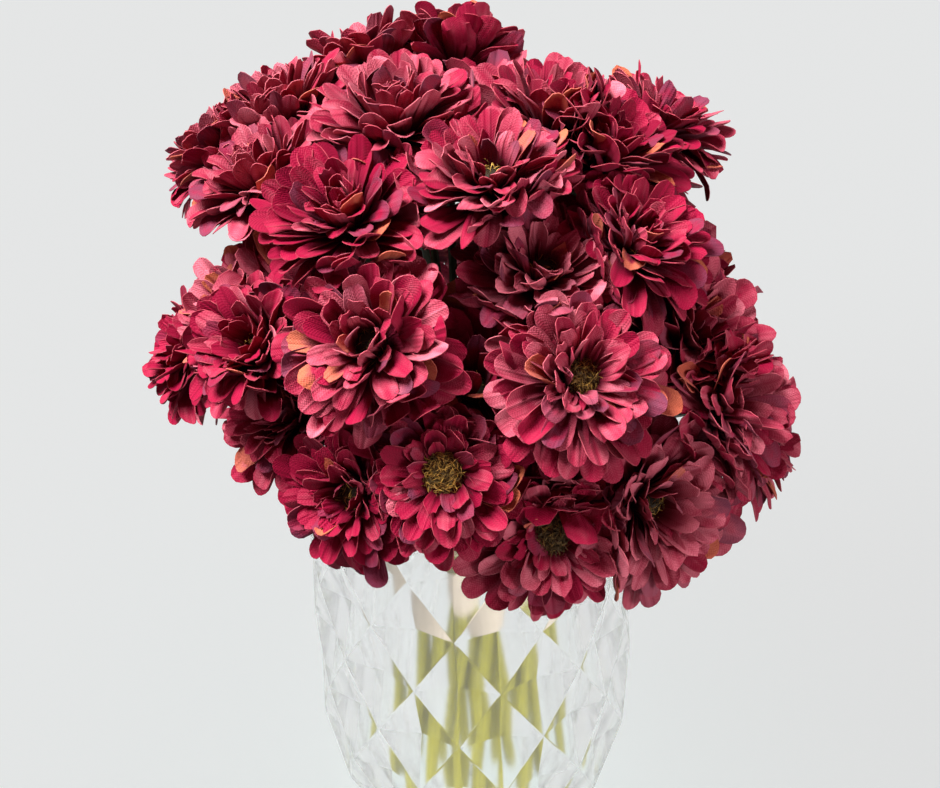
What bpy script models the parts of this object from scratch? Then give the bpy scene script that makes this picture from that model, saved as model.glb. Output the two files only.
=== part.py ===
"""A round bouquet of burgundy fabric daisies standing in a diamond-cut glass vase.

The vase stands on z = 0 with its axis on Z. Seven moulded sprays stand on the vase's inner
floor, cross at a wrap band, and divide above it into one thin branch for each flower head.
Every flower head is one closed solid: two tiers of rounded petals over a short calyx.
"""

import math

import bmesh
import bpy
from mathutils import Matrix, Vector

MM = 0.001
GAP = 0.3 * MM                      # clearance between pieces that touch

# Vase: body radius, foot, rim and the lattice of diamonds
VASE_HEIGHT = 186 * MM
BODY_RADIUS = 60.5 * MM
FOOT_RADIUS = 36 * MM
FOOT_HEIGHT = 4 * MM
RIM_RADIUS = 61.5 * MM
SHOULDER_HEIGHT = 66 * MM           # below this the body curves in to the foot
WALL = 6.0 * MM                     # at the body radius, before the pits are cut
RIM_WALL = 4.5 * MM
RIM_DEPTH = 12 * MM                 # the wall is thinner this far down from the rim
FLOOR_HEIGHT = 12 * MM              # top of the thick glass base
FLOOR_ROUNDING = 3 * MM
DIAMOND_COLUMNS = 12
DIAMOND_ROWS = 7
FIRST_ROW_HEIGHT = 10.4 * MM
ROW_PITCH = 24.8 * MM
RIDGE_OUT = 1.5 * MM                # ridges round the diamonds, over the body radius
PIT_IN = 4.0 * MM                   # the pit in the middle of each diamond, under it
LATTICE_TURN = math.radians(-6.5)
INNER_STEPS = 6

# Bundle of stems
MAIN_STEM_RADIUS = 4.8 * MM
WAIST_RADIUS = 10.6 * MM            # ring of six stems round the middle one
WAIST_HEIGHT = 125 * MM
STEM_SLANT = 0.19                   # sideways run of a ring stem per unit of height
HUB_HEIGHT = 166 * MM
BRANCH_RADIUS = 1.5 * MM
BRANCH_STEPS = 5
BRANCH_SIDES = 5
STEM_SIDES = 10
CROWN_RISE = 5 * MM                 # the stem's tapered top, over its hub
CROWN_SHARE = 0.7
BRANCH_ROOT = 2 * MM                # branches start this far under the hub
LEAVE_SHARE = 0.3                   # how firmly a branch keeps its stem's heading
ARRIVE_SHARE = 0.45                 # how firmly it takes its flower's heading
WRAP_LENGTH = 38 * MM
WRAP_WALL = 1.4 * MM
WRAP_SIDES = 24

# Flower heads
GATHER = Vector((0.0, 0.0, 168 * MM))   # the point that every flower faces away from
HEAD_RADIUS = 32 * MM
HEAD_LOBES = 12
CALYX_RADIUS = 3.2 * MM
CALYX_DEPTH = 17 * MM                   # from the flower's centre back to its branch
CELL_REACH = math.radians(48)           # neighbours nearer than this press on a flower
OVERHANG = 22                           # a flower this much farther out (mm) stands over another
STEM_ROOM = 1.5 * MM                    # clearance beside the branch of an overhanging flower
HEAD_ROLL = math.radians(37)            # turn between one head's lobes and the next head's
SHORTEST_EDGE = 0.02 * MM

# Rings of a head over its calyx: (share of the radius, height in mm) on a lobe, then between lobes
HEAD_RINGS = (
    ((1.0, 2.0), (0.88, 0.0)),
    ((0.58, 6.5), (0.66, 8.0)),
    ((0.26, 1.5), (0.26, 1.5)),
)

# Each spray: the bearing of its hub, or None for the upright one, and its flowers as
# (bearing, tilt from upright, distance from the gather point in mm, turn, nod), degrees.
# Bearing 0 is the front of the vase (-Y) and 90 is +X.
SPRAYS = {
    "centre": (None, [
        (-35, 12, 155, 0, 0),
        (60, 14, 151, 0, 0),
        (66, 22, 146, 10, 14),
        (11, 22, 156, 0, -8),
        (-112, 25, 151, 0, 0),
        (178, 25, 152, -6, 24),
        (150, 12, 136, 0, 0),
    ]),
    "front": (0, [
        (22, 31, 134, 0, 0),
        (-17, 42, 143, 0, 10),
        (21, 47, 137, 0, 0),
        (-4, 57, 123, 0, 0),
        (15, 69, 108, 0, 4),
        (-22, 62, 111, -4, 6),
        (19, 57, 100, 0, 0),
        (2, 43, 112, 0, 0),
    ]),
    "front_right": (60, [
        (45, 33, 144, 0, 0),
        (60, 48, 116, 0, 0),
        (35, 69, 110, -2, 4),
        (56, 60, 121, 4, 4),
        (70, 71, 112, 0, 6),
        (88, 62, 102, 0, 0),
        (74, 35, 110, 0, 0),
    ]),
    "back_right": (120, [
        (102, 29, 149, 0, 0),
        (95, 42, 102, 0, 0),
        (146, 30, 138, 0, 0),
        (134, 45, 130, 0, 0),
        (112, 64, 96, 0, 6),
        (140, 64, 108, 0, 6),
        (114, 47, 102, 0, 0),
    ]),
    "back": (180, [
        (160, 46, 138, 0, 0),
        (-171, 46, 138, 0, 0),
        (168, 65, 112, 0, 6),
        (-163, 64, 112, 0, 6),
        (-154, 27, 154, 0, 10),
        (170, 36, 108, 0, 0),
    ]),
    "back_left": (-120, [
        (-143, 46, 134, 0, 0),
        (-107, 36, 150, 0, 10),
        (-134, 64, 108, 0, 6),
        (-106, 64, 104, 0, 6),
        (-115, 52, 104, 0, 0),
    ]),
    "front_left": (-60, [
        (-30, 27, 151, 0, 0),
        (-84, 28, 141, 0, 0),
        (-69, 43, 118, 0, 0),
        (-45, 45, 130, 0, 0),
        (-80, 55, 117, 0, 2),
        (-43, 52, 108, 0, -6),
        (-54, 33, 112, 0, 0),
        (-120, 15, 125, 0, 0),
    ]),
}


# ---------------------------------------------------------------- helpers

def polar(radius, angle, height):
    """A point at a radius and a bearing angle (0 = front) from the vase's axis."""
    return Vector((radius * math.sin(angle), -radius * math.cos(angle), height))


def bearing_direction(bearing, tilt):
    """The unit vector that leans by tilt from upright towards a bearing (degrees)."""
    tilt = math.radians(tilt)
    return polar(math.sin(tilt), math.radians(bearing), math.cos(tilt))


def material(name, colour, roughness, transmission=0.0):
    """A Principled material with one plain colour."""
    made = bpy.data.materials.new(name)
    made.use_nodes = True
    shader = made.node_tree.nodes["Principled BSDF"]
    shader.inputs["Base Color"].default_value = (*colour, 1.0)
    shader.inputs["Roughness"].default_value = roughness
    shader.inputs["Metallic"].default_value = 0.0
    shader.inputs["Transmission Weight"].default_value = transmission
    return made


def mesh_object(name, points, faces, finish, smooth_angle=None):
    """One named object from points and faces, with its faces pointing out."""
    mesh = bpy.data.meshes.new(name)
    mesh.from_pydata(points, [], faces)
    work = bmesh.new()
    work.from_mesh(mesh)
    bmesh.ops.recalc_face_normals(work, faces=work.faces)
    work.to_mesh(mesh)
    work.free()
    mesh.materials.append(finish)
    if smooth_angle is not None:
        mesh.shade_smooth()
        mesh.set_sharp_from_angle(angle=smooth_angle)
    made = bpy.data.objects.new(name, mesh)
    bpy.context.scene.collection.objects.link(made)
    return made


def bridge(faces, first, second, count):
    """Quads between two rings of equal length, given by their first point's index."""
    for step in range(count):
        after = (step + 1) % count
        faces.append((first + step, first + after, second + after, second + step))


# ---------------------------------------------------------------- vase

def body_radius(height):
    """The vase's outside radius: upright, then drawn in towards the foot."""
    below = max(0.0, 1.0 - height / SHOULDER_HEIGHT)
    return BODY_RADIUS - (BODY_RADIUS - FOOT_RADIUS) * below * below


def build_vase(finish):
    """Outer wall with a lattice of hollow diamonds, plain rim, smooth inner wall and floor."""
    sides = 2 * DIAMOND_COLUMNS
    points = []
    faces = []
    rings = []

    def ring(radii, height):
        rings.append(len(points))
        for step in range(sides):
            angle = LATTICE_TURN + math.pi * step / DIAMOND_COLUMNS
            points.append(polar(radii[step % len(radii)], angle, height))

    ring([FOOT_RADIUS], 0.0)
    ring([FOOT_RADIUS], FOOT_HEIGHT)
    for row in range(DIAMOND_ROWS):
        height = FIRST_ROW_HEIGHT + row * ROW_PITCH
        pit = body_radius(height) - PIT_IN
        point = body_radius(height) + RIDGE_OUT
        ring([point, pit] if row % 2 else [pit, point], height)
    ring([BODY_RADIUS], FIRST_ROW_HEIGHT + (DIAMOND_ROWS - 0.5) * ROW_PITCH)
    ring([RIM_RADIUS], VASE_HEIGHT)
    ring([BODY_RADIUS - RIM_WALL], VASE_HEIGHT)
    for step in range(INNER_STEPS + 1):
        share = 1 - step / INNER_STEPS
        height = FLOOR_HEIGHT + (VASE_HEIGHT - RIM_DEPTH - FLOOR_HEIGHT) * share * share
        rounding = FLOOR_ROUNDING if step == INNER_STEPS else 0.0
        ring([body_radius(height) - WALL - rounding], height)

    for index in range(len(rings) - 1):
        lattice = 2 <= index < 1 + DIAMOND_ROWS
        if not lattice:
            bridge(faces, rings[index], rings[index + 1], sides)
            continue
        row = index - 2
        for step in range(sides):
            after = (step + 1) % sides
            low, low_next = rings[index] + step, rings[index] + after
            high, high_next = rings[index + 1] + step, rings[index + 1] + after
            if (step + row) % 2:
                faces.append((low, low_next, high_next))
                faces.append((low, high_next, high))
            else:
                faces.append((low, low_next, high))
                faces.append((low_next, high_next, high))
    faces.append(tuple(rings[0] + step for step in reversed(range(sides))))
    faces.append(tuple(rings[-1] + step for step in range(sides)))
    return mesh_object("glass_vase", points, faces, finish)


# ---------------------------------------------------------------- stems

def ring_stem_point(bearing, height):
    """Where a ring stem is at a height: six straight stems that twist past one another."""
    run = STEM_SLANT * (height - WAIST_HEIGHT)
    angle = math.radians(bearing) - math.atan2(STEM_SLANT * (HUB_HEIGHT - WAIST_HEIGHT), WAIST_RADIUS)
    out = polar(WAIST_RADIUS, angle, height)
    along = Vector((math.cos(angle), math.sin(angle), 0.0))
    return out + along * run


def tube(path, radii, sides):
    """Points and faces of a closed tube along a path, with flat ends."""
    points = []
    faces = []
    start = (path[1] - path[0]).normalized()
    across = start.orthogonal().normalized()
    before = start
    for index, place in enumerate(path):
        ahead = path[min(index + 1, len(path) - 1)]
        behind = path[max(index - 1, 0)]
        heading = (ahead - behind).normalized()
        across = before.rotation_difference(heading) @ across
        before = heading
        beside = heading.cross(across).normalized()
        for side in range(sides):
            angle = 2 * math.pi * side / sides
            points.append(place + (across * math.cos(angle) + beside * math.sin(angle)) * radii[index])
    for index in range(len(path) - 1):
        bridge(faces, index * sides, (index + 1) * sides, sides)
    faces.append(tuple(reversed(range(sides))))
    faces.append(tuple((len(path) - 1) * sides + side for side in range(sides)))
    return points, faces


def bezier(start, leave, arrive, end, steps):
    """Points on a cubic curve."""
    points = []
    for step in range(steps + 1):
        t = step / steps
        u = 1 - t
        points.append(start * u**3 + leave * 3 * u * u * t + arrive * 3 * u * t * t + end * t**3)
    return points


def flower_place(flower):
    """A flower's centre and the direction that it faces."""
    bearing, tilt, reach, turn, nod = flower
    centre = GATHER + bearing_direction(bearing, tilt) * (reach * MM)
    return centre, bearing_direction(bearing + turn, tilt + nod)


def branch_path(hub, rise, flower):
    """The curve of one branch, from the hub to just under the flower's calyx."""
    centre, facing = flower_place(flower)
    end = centre - facing * (CALYX_DEPTH + GAP)
    span = (end - hub).length
    leave = hub + rise * span * LEAVE_SHARE
    arrive = end - facing * span * ARRIVE_SHARE
    return bezier(hub, leave, arrive, end, BRANCH_STEPS)


def union(base, others):
    """Join other objects into base with exact Booleans, and remove them."""
    bpy.context.view_layer.objects.active = base
    for other in others:
        cut = base.modifiers.new("join", "BOOLEAN")
        cut.operation = "UNION"
        cut.solver = "EXACT"
        cut.object = other
    graph = bpy.context.evaluated_depsgraph_get()
    joined = bpy.data.meshes.new_from_object(base.evaluated_get(graph))
    base.modifiers.clear()
    base.data = joined
    for other in others:
        bpy.data.objects.remove(other)


def build_spray(name, bearing, flowers, finish):
    """A main stem from the vase's floor to its hub, and one branch for each flower."""
    foot_height = FLOOR_HEIGHT + GAP
    if bearing is None:
        foot = Vector((0.0, 0.0, foot_height))
        hub = Vector((0.0, 0.0, HUB_HEIGHT))
    else:
        foot = ring_stem_point(bearing, foot_height + STEM_SLANT * MAIN_STEM_RADIUS)
        hub = ring_stem_point(bearing, HUB_HEIGHT)
    rise = (hub - foot).normalized()
    path = [foot, foot.lerp(hub, 0.5), hub, hub + rise * CROWN_RISE]
    radii = [MAIN_STEM_RADIUS] * 3 + [CROWN_SHARE * MAIN_STEM_RADIUS]
    points, faces = tube(path, radii, STEM_SIDES)
    spray = mesh_object("spray_" + name, points, faces, finish)
    branches = []
    for flower in flowers:
        route = branch_path(hub - rise * BRANCH_ROOT, rise, flower)
        points, faces = tube(route, [BRANCH_RADIUS] * len(route), BRANCH_SIDES)
        branches.append(mesh_object("branch", points, faces, finish))
    union(spray, branches)
    return spray


def build_wrap(finish):
    """The band that holds the seven main stems together."""
    slack = 1 / math.cos(math.pi / WRAP_SIDES)
    end_run = STEM_SLANT * WRAP_LENGTH / 2
    slanted_radius = MAIN_STEM_RADIUS * math.hypot(1, STEM_SLANT)
    inner = (math.hypot(WAIST_RADIUS, end_run) + slanted_radius + GAP) * slack
    outer = inner + WRAP_WALL
    low = WAIST_HEIGHT - WRAP_LENGTH / 2
    high = WAIST_HEIGHT + WRAP_LENGTH / 2
    points = []
    faces = []
    for radius, height in ((outer, low), (outer, high), (inner, high), (inner, low)):
        for step in range(WRAP_SIDES):
            points.append(polar(radius, 2 * math.pi * step / WRAP_SIDES, height))
    for index in range(4):
        bridge(faces, index * WRAP_SIDES, ((index + 1) % 4) * WRAP_SIDES, WRAP_SIDES)
    return mesh_object("stem_wrap", points, faces, finish, math.radians(40))


# ---------------------------------------------------------------- flowers

def head_profile(index):
    """Rings of a flower head: for each point round it, radius and height over the centre."""
    rings = [(CALYX_RADIUS, -CALYX_DEPTH)]
    for on_lobe, between in HEAD_RINGS:
        share, height = on_lobe if index % 2 else between
        rings.append((HEAD_RADIUS * share, height * MM))
    return rings


def pressing_plane(flower, other):
    """How a neighbour presses: the plane's normal, and its distance from the gather point."""
    own = bearing_direction(flower[0], flower[1])
    others = bearing_direction(other[0], other[1])
    higher = other[2] - flower[2]
    if higher < -OVERHANG:
        return None
    if higher > OVERHANG:
        beside_stem = (own - others * own.dot(others)).normalized()
        return beside_stem, BRANCH_RADIUS + STEM_ROOM
    return (own - others).normalized(), GAP / 2


def build_head(name, flower, neighbours, roll, finish):
    """One flower head, pressed flat where its neighbours push against it."""
    sides = 2 * HEAD_LOBES
    centre, facing = flower_place(flower)
    turn = facing.to_track_quat("Z", "Y").to_matrix().to_4x4() @ Matrix.Rotation(roll, 4, "Z")
    place = Matrix.Translation(centre) @ turn
    work = bmesh.new()
    rings = []
    for level in range(1 + len(HEAD_RINGS)):
        ring = []
        for index in range(sides):
            radius, height = head_profile(index)[level]
            ring.append(work.verts.new(place @ polar(radius, 2 * math.pi * index / sides, height)))
        rings.append(ring)
    for lower, upper in zip(rings, rings[1:]):
        for index in range(sides):
            after = (index + 1) % sides
            work.faces.new((lower[index], lower[after], upper[after], upper[index]))
    work.faces.new(tuple(reversed(rings[0])))
    work.faces.new(tuple(rings[-1]))
    bmesh.ops.recalc_face_normals(work, faces=work.faces)

    for other in neighbours:
        pressing = pressing_plane(flower, other)
        if pressing is None:
            continue
        apart, clearance = pressing
        cut = bmesh.ops.bisect_plane(
            work,
            geom=work.verts[:] + work.edges[:] + work.faces[:],
            dist=1e-6,
            plane_co=GATHER + apart * clearance,
            plane_no=-apart,
            clear_outer=True,
        )
        rim = [item for item in cut["geom_cut"] if isinstance(item, bmesh.types.BMEdge)]
        if rim:
            bmesh.ops.holes_fill(work, edges=rim, sides=0)
    bmesh.ops.triangulate(work, faces=work.faces[:])
    bmesh.ops.dissolve_degenerate(work, dist=SHORTEST_EDGE, edges=work.edges[:])
    bmesh.ops.recalc_face_normals(work, faces=work.faces)
    mesh = bpy.data.meshes.new(name)
    work.to_mesh(mesh)
    work.free()
    mesh.materials.append(finish)
    made = bpy.data.objects.new(name, mesh)
    bpy.context.scene.collection.objects.link(made)
    return made


def angle_between(first, second):
    """The angle between two flowers, seen from the gather point."""
    return bearing_direction(first[0], first[1]).angle(bearing_direction(second[0], second[1]))


# ---------------------------------------------------------------- the whole bouquet

def main():
    """Clear the scene and build every piece."""
    for item in list(bpy.data.objects):
        bpy.data.objects.remove(item)

    glass = material("clear_glass", (0.93, 0.96, 0.97), 0.02, 1.0)
    green = material("green_plastic", (0.36, 0.40, 0.08), 0.45)
    beige = material("beige_tape", (0.80, 0.66, 0.50), 0.8)
    burgundy = material("burgundy_fabric", (0.32, 0.02, 0.05), 0.8)

    build_vase(glass)
    build_wrap(beige)
    everyone = [flower for _, flowers in SPRAYS.values() for flower in flowers]
    count = 0
    for name, (bearing, flowers) in SPRAYS.items():
        build_spray(name, bearing, flowers, green)
        for number, flower in enumerate(flowers, start=1):
            near = [other for other in everyone
                    if other is not flower and angle_between(flower, other) < CELL_REACH]
            near.sort(key=lambda other: angle_between(flower, other))
            roll = HEAD_ROLL * count
            build_head(f"daisy_{name}_{number}", flower, near, roll, burgundy)
            count += 1


main()
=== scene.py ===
# %% [markdown]
# # A bouquet of fabric daisies in a diamond-cut glass vase
# The object is a tight dome of artificial daisies. Their petals are die-cut from satin cloth,
# their stems are moulded plastic, and they stand in a pressed-glass vase.
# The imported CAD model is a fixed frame: one solid for each flower head, one for each spray of
# stems, one for the vase and one for the band round the stems. This lesson keeps every place
# and size of that frame and dresses it: real petals, curled fibres, ribbed stems, clear glass.

# %% Load the frame
import math

import bmesh
import bpy
import numpy as np
from mathutils import Matrix, Vector


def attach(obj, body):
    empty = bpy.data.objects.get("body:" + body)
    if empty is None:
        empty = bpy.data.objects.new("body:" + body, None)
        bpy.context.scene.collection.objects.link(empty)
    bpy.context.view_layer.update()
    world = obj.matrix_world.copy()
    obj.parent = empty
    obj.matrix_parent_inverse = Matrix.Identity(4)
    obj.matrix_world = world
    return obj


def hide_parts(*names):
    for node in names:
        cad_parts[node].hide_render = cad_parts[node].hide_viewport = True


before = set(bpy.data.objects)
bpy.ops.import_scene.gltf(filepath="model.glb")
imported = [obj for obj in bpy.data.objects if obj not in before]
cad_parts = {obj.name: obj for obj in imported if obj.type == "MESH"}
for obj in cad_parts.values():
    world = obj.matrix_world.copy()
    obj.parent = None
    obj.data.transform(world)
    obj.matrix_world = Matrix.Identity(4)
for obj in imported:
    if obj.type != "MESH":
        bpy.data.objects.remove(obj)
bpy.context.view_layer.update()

MM = 0.001
print("nodes in the frame:", len(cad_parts))

# %% [markdown]
# ## The camera
# A camera could be placed by eye, but a measured one is easier to repeat. It looks at a point
# close to the vase's axis, from a distance and an angle above the horizon, with a small roll.

# %% Place the camera
LENS = 65.1
TARGET = Vector((0.0019, 0.0, 0.200))
LOOK_DOWN = math.radians(31.2)
CAMERA_ROLL = math.radians(-2.1)
CAMERA_DISTANCE = 0.620


def place_camera():
    """A camera that looks down at the bouquet, with a slight roll."""
    back = Vector((0.0, -math.cos(LOOK_DOWN), math.sin(LOOK_DOWN)))
    right = Vector((1.0, 0.0, 0.0))
    up = right.cross(-back)
    rolled_right = right * math.cos(CAMERA_ROLL) + up * math.sin(CAMERA_ROLL)
    rolled_up = up * math.cos(CAMERA_ROLL) - right * math.sin(CAMERA_ROLL)
    turn = Matrix((rolled_right, rolled_up, back)).transposed().to_4x4()
    camera = bpy.data.objects.new("camera", bpy.data.cameras.new("camera"))
    camera.matrix_world = Matrix.Translation(TARGET + back * CAMERA_DISTANCE) @ turn
    camera.data.lens = LENS
    camera.data.clip_start = 0.01
    bpy.context.scene.collection.objects.link(camera)
    bpy.context.scene.camera = camera
    return camera


camera = place_camera()
print("camera at", [round(x, 4) for x in camera.matrix_world.translation])

# %% [markdown]
# ## Writing shaders as expressions
# A shader is a small graph of nodes. It can be wired by hand, but maths reads better as maths,
# so one class wraps a node's output and gives it Python's operators. Numbers go through Math
# nodes, and every other kind of node comes from one method.

# %% A socket that Python can calculate with
class Wire:
    """One output of a shader node."""

    def __init__(self, socket):
        self.socket = socket
        self.tree = socket.id_data

    @staticmethod
    def node(tree, kind, settings=None, values=None, output=0):
        """A node of a kind: its settings come first, then its sockets' values or links."""
        made = tree.nodes.new("ShaderNode" + kind)
        for name, value in (settings or {}).items():
            if name == "stops":
                elements = made.color_ramp.elements
                while len(elements) < len(value):
                    elements.new(1.0)
                for element, (place, colour) in zip(elements, value):
                    element.position = place
                    element.color = (*colour, 1.0)
            else:
                setattr(made, name, value)
        for name, value in (values or {}).items():
            if isinstance(value, Wire):
                tree.links.new(value.socket, made.inputs[name])
            else:
                made.inputs[name].default_value = value
        return Wire(made.outputs[output])

    def maths(self, operation, *terms):
        """A Math node on this value and up to two others."""
        inputs = dict(enumerate((self, *terms)))
        return Wire.node(self.tree, "Math", {"operation": operation}, inputs)

    def __add__(self, other):
        return self.maths("ADD", other)

    def __radd__(self, other):
        return self.maths("ADD", other)

    def __sub__(self, other):
        return self.maths("SUBTRACT", other)

    def __rsub__(self, other):
        return Wire.node(self.tree, "Math", {"operation": "SUBTRACT"}, {0: other, 1: self})

    def __mul__(self, other):
        return self.maths("MULTIPLY", other)

    def __rmul__(self, other):
        return self.maths("MULTIPLY", other)

    def clipped(self):
        """This value kept between 0 and 1."""
        return self.maths("MAXIMUM", 0.0).maths("MINIMUM", 1.0)

    def eased(self, low, high):
        """0 below low, 1 above high, and a smooth step between them."""
        settings = {"interpolation_type": "SMOOTHSTEP"}
        values = {"Value": self, "From Min": low, "From Max": high}
        return Wire.node(self.tree, "MapRange", settings, values)


MIX_FACTOR, MIX_FIRST, MIX_SECOND, MIX_COLOUR_OUT = 0, 6, 7, 2


def blend(factor, first, second, tree=None):
    """Colour that goes from first to second as factor goes from 0 to 1."""
    tree = tree or factor.tree
    values = {
        MIX_FACTOR: factor,
        MIX_FIRST: first if isinstance(first, Wire) else (*first, 1.0),
        MIX_SECOND: second if isinstance(second, Wire) else (*second, 1.0),
    }
    return Wire.node(tree, "Mix", {"data_type": "RGBA"}, values, MIX_COLOUR_OUT)


def attribute(tree, name, output="Fac"):
    """What a mesh's own attribute holds."""
    return Wire.node(tree, "Attribute", {"attribute_name": name}, None, output)


def scaled(vector, factors):
    """A vector multiplied by three factors."""
    settings = {"operation": "MULTIPLY"}
    return Wire.node(vector.tree, "VectorMath", settings, {0: vector, 1: factors})


def noise(vector, scale, detail=2.0):
    """Cloudy noise from 0 to 1 at a scale."""
    values = {"Vector": vector, "Scale": scale, "Detail": detail}
    return Wire.node(vector.tree, "TexNoise", None, values)


def finish(name):
    """A new material, its tree and its Principled shader."""
    made = bpy.data.materials.new(name)
    made.use_nodes = True
    tree = made.node_tree
    return made, tree, tree.nodes["Principled BSDF"]


def set_shader(shader, **values):
    """Values or links for the Principled shader; underscores stand for spaces."""
    for name, value in values.items():
        socket = shader.inputs[name.replace("_", " ")]
        if isinstance(value, Wire):
            shader.id_data.links.new(value.socket, socket)
        else:
            socket.default_value = value


def bump(height, strength, distance):
    """A normal that follows a height."""
    values = {"Height": height, "Strength": strength, "Distance": distance}
    return Wire.node(height.tree, "Bump", None, values, "Normal")


print("shader helpers ready")

# %% [markdown]
# ## The petal cloth
# The real petals are satin printed crimson; dusty rose is painted on as a sheen where light would
# catch the nap.
# A few petals are printed orange or plum towards the tip. The cut edge frays pale. A picture
# of cloth could be wrapped round them, but noise that follows each petal's own length and
# width gives every petal its own clouds, creases and fine pleats. The weave is far finer than
# the petals, so it is a bump and a faint colour change.

# %% Petal cloth
# Deep crimson serves the weave's dark specks, and the painted shade at petal roots and on shaded
# heads
SPECK_AND_SHADE_CRIMSON = (0.060, 0.0004, 0.007)
CRIMSON = (0.245, 0.003, 0.028)
# Painted sheen: rose stands in for light caught by the satin's nap
SHEEN_ROSE = (0.50, 0.122, 0.162)
PLUM = (0.120, 0.026, 0.052)
ORANGE = (0.45, 0.115, 0.055)
CUT_EDGE = (0.42, 0.12, 0.12)
SHEEN_POWER = 2.1
THREAD_TURN = 6.8  # radians of weave per mm of cloth
# How much each pattern raises the painted sheen, so that crease and pleat ridges show paler,
# and how much it raises the cloth
CLOUD_SHEEN, CREASE_SHEEN, PLEAT_SHEEN, THREAD_SHEEN = 0.9, 0.45, 0.4, 0.09
CREASE_RISE, PLEAT_RISE, THREAD_RISE, GRAIN_RISE = 1.5, 1.3, 0.12, 0.25
# Painted shade for petals whose tone is below zero
SHADE_SHARE = 1.2  # how fast a tone below zero turns to deep crimson


def petal_cloth():
    """Satin with a painted rose sheen; each petal carries its own share of sheen, plum and orange.
    """
    made, tree, shader = finish("burgundy_satin")
    cloth = attribute(tree, "cloth", "Vector")
    fold = attribute(tree, "fold", "Vector")
    share = Wire.node(tree, "SeparateXYZ", None, {0: fold}, "X")
    clouds = noise(cloth, 0.22, 3.0)
    fine = noise(cloth, 1.6, 2.0)
    creases = noise(scaled(fold, (0.5, 1.8, 1.0)), 1.0, 1.0)
    pleats = noise(scaled(fold, (0.6, 2.9, 1.0)), 1.0, 1.0)
    warp, weft = (
        (Wire.node(tree, "SeparateXYZ", None, {0: cloth}, axis) * THREAD_TURN).maths("SINE")
        for axis in ("X", "Y")
    )
    weave = warp * weft
    pale = attribute(tree, "pale")
    # Painted sheen: rose is laid on pale petals and on the ridges of creases and pleats, as if
    # light caught the nap
    painted_sheen = pale + (clouds - 0.5) * CLOUD_SHEEN + (creases - 0.5) * CREASE_SHEEN
    painted_sheen = painted_sheen + (pleats - 0.5) * PLEAT_SHEEN + weave * THREAD_SHEEN
    painted_sheen = painted_sheen.clipped().maths("POWER", SHEEN_POWER)
    colour = blend(painted_sheen, CRIMSON, SHEEN_ROSE)
    # Painted shade: petals with a tone below zero turn towards deep crimson
    colour = blend((pale * -1.0).clipped() * SHADE_SHARE, colour, SPECK_AND_SHADE_CRIMSON)
    # Painted shade: each petal darkens towards its root, where the petals above it shade it
    colour = blend(share.eased(0.22, 0.95), SPECK_AND_SHADE_CRIMSON, colour)
    reach = share + (clouds - 0.5) * 1.1
    colour = blend(attribute(tree, "plum") * reach.eased(0.45, 1.1), colour, PLUM)
    colour = blend(attribute(tree, "warm") * reach.eased(0.50, 0.95), colour, ORANGE)
    specks = (fine - 0.5).clipped() * 0.45 + (0.5 - weave * 0.5) * 0.20
    colour = blend(specks, colour, SPECK_AND_SHADE_CRIMSON)
    colour = blend(attribute(tree, "rim") * (0.04 + fine * 0.42), colour, CUT_EDGE)
    rise = creases * CREASE_RISE + pleats * PLEAT_RISE + weave * THREAD_RISE + fine * GRAIN_RISE
    set_shader(
        shader,
        Base_Color=colour,
        Roughness=0.50 + clouds * 0.16,
        Specular_IOR_Level=0.08,
        Sheen_Weight=0.04,
        Sheen_Roughness=0.4,
        Sheen_Tint=(1.0, 0.55, 0.66, 1.0),
        Normal=bump(rise, 0.9, 0.0005),
    )
    return made


PETAL_CLOTH = petal_cloth()
print("material:", PETAL_CLOTH.name)

# %% [markdown]
# ## The centre's fibre
# The centre is a mop of curled fibres, gold at the tips and almost black inside. One colour
# with deep shadows would do from far off; a ramp along each fibre also works close up, and it
# paints that shade: dark at the root, gold at the tip.

# %% Centre fibres
def mop_fibre():
    """Dry curled fibre: gold at the tip, darkened by painted shade towards the root."""
    made, tree, shader = finish("gold_fibre")
    tone = attribute(tree, "tone")
    settings = {"stops": [
        (0.0, (0.020, 0.013, 0.005)),
        (0.35, (0.075, 0.045, 0.010)),
        (0.70, (0.40, 0.235, 0.040)),
        (1.0, (0.86, 0.54, 0.11)),
    ]}
    colour = Wire.node(tree, "ValToRGB", settings, {"Fac": tone}, "Color")
    set_shader(shader, Base_Color=colour, Roughness=0.7 - tone * 0.15, Specular_IOR_Level=0.3)
    return made


MOP_FIBRE = mop_fibre()
print("material:", MOP_FIBRE.name)

# %% [markdown]
# ## The stems' plastic
# Stems are moulded in yellow-green and the thin branches in a fresher green. Painted shade
# darkens the grooves between the ribs, and the branches and calyxes under the heads. One
# material with two values on the mesh keeps both in the same streaky plastic.

# %% Stem plastic
STEM_GREENS = (0.245, 0.225, 0.005), (0.47, 0.43, 0.014)
BRANCH_GREENS = (0.05, 0.10, 0.014), (0.17, 0.27, 0.04)
# Painted shade: the near-black green that grooves, branches and calyxes are darkened towards
SHADE_GREEN = (0.010, 0.013, 0.005)


def stem_plastic():
    """Moulded plastic: yellow-green main stems, fresher green branches and calyxes."""
    made, tree, shader = finish("stem_plastic")
    place = Wire.node(tree, "TexCoord", None, None, "Object")
    streaks = noise(scaled(place, (900.0, 900.0, 40.0)), 1.0, 2.0)
    colour = blend(streaks, *STEM_GREENS)
    colour = blend(attribute(tree, "fresh"), colour, blend(streaks, *BRANCH_GREENS))
    # Painted shade: the mesh value groove darkens rib grooves, branches and calyxes
    colour = blend(attribute(tree, "groove"), colour, SHADE_GREEN)
    set_shader(
        shader,
        Base_Color=colour,
        Roughness=0.38 + streaks * 0.2,
        Normal=bump(streaks, 0.25, 0.0004),
    )
    return made


STEM_PLASTIC = stem_plastic()
print("material:", STEM_PLASTIC.name)

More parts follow.
